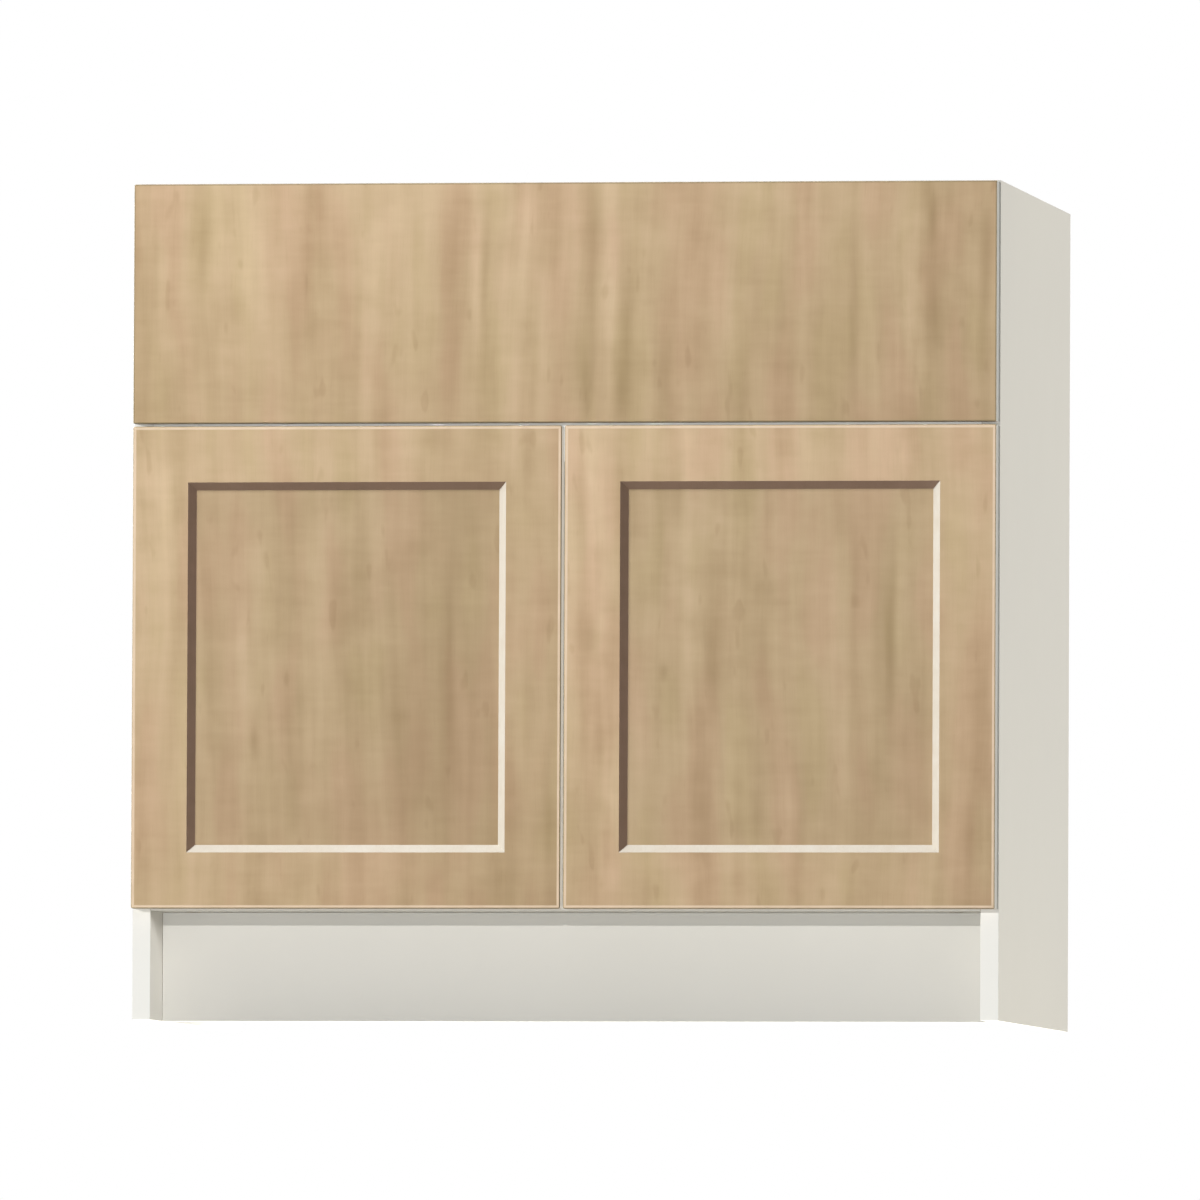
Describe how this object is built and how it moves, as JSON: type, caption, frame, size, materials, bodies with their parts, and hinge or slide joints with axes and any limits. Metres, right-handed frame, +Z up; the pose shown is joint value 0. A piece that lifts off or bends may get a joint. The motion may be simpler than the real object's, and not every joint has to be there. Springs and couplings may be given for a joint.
{
  "type": "sink base cabinet",
  "caption": "Frameless sink base cabinet with a fixed false front over a pair of recessed-panel doors on concealed hinges, open top for a sink, and a recessed toe kick.",
  "frame": {"origin": "on the floor, at the centre of the footprint, fronts included", "axes": "+Z up, +X to the right of someone facing the doors, the doors face -Y"},
  "size_m": [0.9144, 0.6096, 0.8763],
  "materials": {
    "white_melamine": "satin white melamine on particle board",
    "white_back": "satin white laminate on hardboard",
    "oak_laminate": "matte natural oak foil on fibreboard, vertical grain",
    "nickel_steel": "nickel-plated pressed steel",
    "zinc": "zinc-plated",
    "white_plastic": "moulded",
    "clear_bumper": "soft translucent"
  },
  "bodies": {
    "carcass": {"back_panel": "white_back", "bottom_panel": "white_melamine", "false_front": "oak_laminate", "front_top_rail": "white_melamine", "left_bottom_front_cam": "zinc", "left_bottom_rear_cam": "zinc", "left_front_corner_brace": "white_plastic", "left_front_top_rail_cam": "zinc", "left_lower_false_front_screw": "zinc", "left_lower_false_front_spacer": "white_plastic", "left_lower_hinge_arm": "nickel_steel", "left_lower_hinge_plate": "nickel_steel", "left_mid_rail_cam": "zinc", "left_rear_bottom_rail_cam": "zinc", "left_rear_corner_brace": "white_plastic", "left_rear_top_rail_cam": "zinc", "left_side_panel": "white_melamine", "left_upper_false_front_screw": "zinc", "left_upper_false_front_spacer": "white_plastic", "left_upper_hinge_arm": "nickel_steel", "left_upper_hinge_plate": "nickel_steel", "mid_rail": "white_melamine", "rear_bottom_rail": "white_melamine", "rear_top_rail": "white_melamine", "right_bottom_front_cam": "zinc", "right_bottom_rear_cam": "zinc", "right_front_corner_brace": "white_plastic", "right_front_top_rail_cam": "zinc", "right_lower_false_front_screw": "zinc", "right_lower_false_front_spacer": "white_plastic", "right_lower_hinge_arm": "nickel_steel", "right_lower_hinge_plate": "nickel_steel", "right_mid_rail_cam": "zinc", "right_rear_bottom_rail_cam": "zinc", "right_rear_corner_brace": "white_plastic", "right_rear_top_rail_cam": "zinc", "right_side_panel": "white_melamine", "right_upper_false_front_screw": "zinc", "right_upper_false_front_spacer": "white_plastic", "right_upper_hinge_arm": "nickel_steel", "right_upper_hinge_plate": "nickel_steel", "toe_kick_board": "white_melamine"},
    "left_outer_links": {"left_lower_hinge_outer_link": "nickel_steel", "left_upper_hinge_outer_link": "nickel_steel"},
    "left_door": {"left_door": "oak_laminate", "left_lower_door_bumper": "clear_bumper", "left_lower_hinge_cup": "nickel_steel", "left_upper_door_bumper": "clear_bumper", "left_upper_hinge_cup": "nickel_steel"},
    "left_inner_links": {"left_lower_hinge_inner_link": "nickel_steel", "left_upper_hinge_inner_link": "nickel_steel"},
    "right_outer_links": {"right_lower_hinge_outer_link": "nickel_steel", "right_upper_hinge_outer_link": "nickel_steel"},
    "right_door": {"right_door": "oak_laminate", "right_lower_door_bumper": "clear_bumper", "right_lower_hinge_cup": "nickel_steel", "right_upper_door_bumper": "clear_bumper", "right_upper_hinge_cup": "nickel_steel"},
    "right_inner_links": {"right_lower_hinge_inner_link": "nickel_steel", "right_upper_hinge_inner_link": "nickel_steel"}
  },
  "joints": [
    {"name": "left_door_swing", "type": "hinge", "parent": "carcass", "child": "left_outer_links", "pos_m": [-0.42146, -0.27776, 0.3683], "axis": [0, 0, 1], "range_deg": [0, 54.05]},
    {"name": "left_door_on_outer_links", "type": "hinge", "parent": "left_outer_links", "child": "left_door", "pos_m": [-0.44185, -0.28927, 0.3683], "axis": [0, 0, -1], "range_deg": [0, 159.05]},
    {"name": "left_inner_links_swing", "type": "hinge", "parent": "carcass", "child": "left_inner_links", "pos_m": [-0.41924, -0.28291, 0.3683], "axis": [0, 0, 1], "range_deg": [0, 61]},
    {"name": "right_door_swing", "type": "hinge", "parent": "carcass", "child": "right_outer_links", "pos_m": [0.42146, -0.27776, 0.3683], "axis": [0, 0, -1], "range_deg": [0, 54.05]},
    {"name": "right_door_on_outer_links", "type": "hinge", "parent": "right_outer_links", "child": "right_door", "pos_m": [0.44185, -0.28927, 0.3683], "axis": [0, 0, 1], "range_deg": [0, 159.05]},
    {"name": "right_inner_links_swing", "type": "hinge", "parent": "carcass", "child": "right_inner_links", "pos_m": [0.41924, -0.28291, 0.3683], "axis": [0, 0, -1], "range_deg": [0, 61]}
  ],
  "couplings": [
    {"joint": "left_door_on_outer_links", "follows": "left_door_swing", "ratio": 2.9426},
    {"joint": "left_inner_links_swing", "follows": "left_door_swing", "ratio": 1.1285},
    {"joint": "right_door_on_outer_links", "follows": "right_door_swing", "ratio": 2.9426},
    {"joint": "right_inner_links_swing", "follows": "right_door_swing", "ratio": 1.1285}
  ]
}
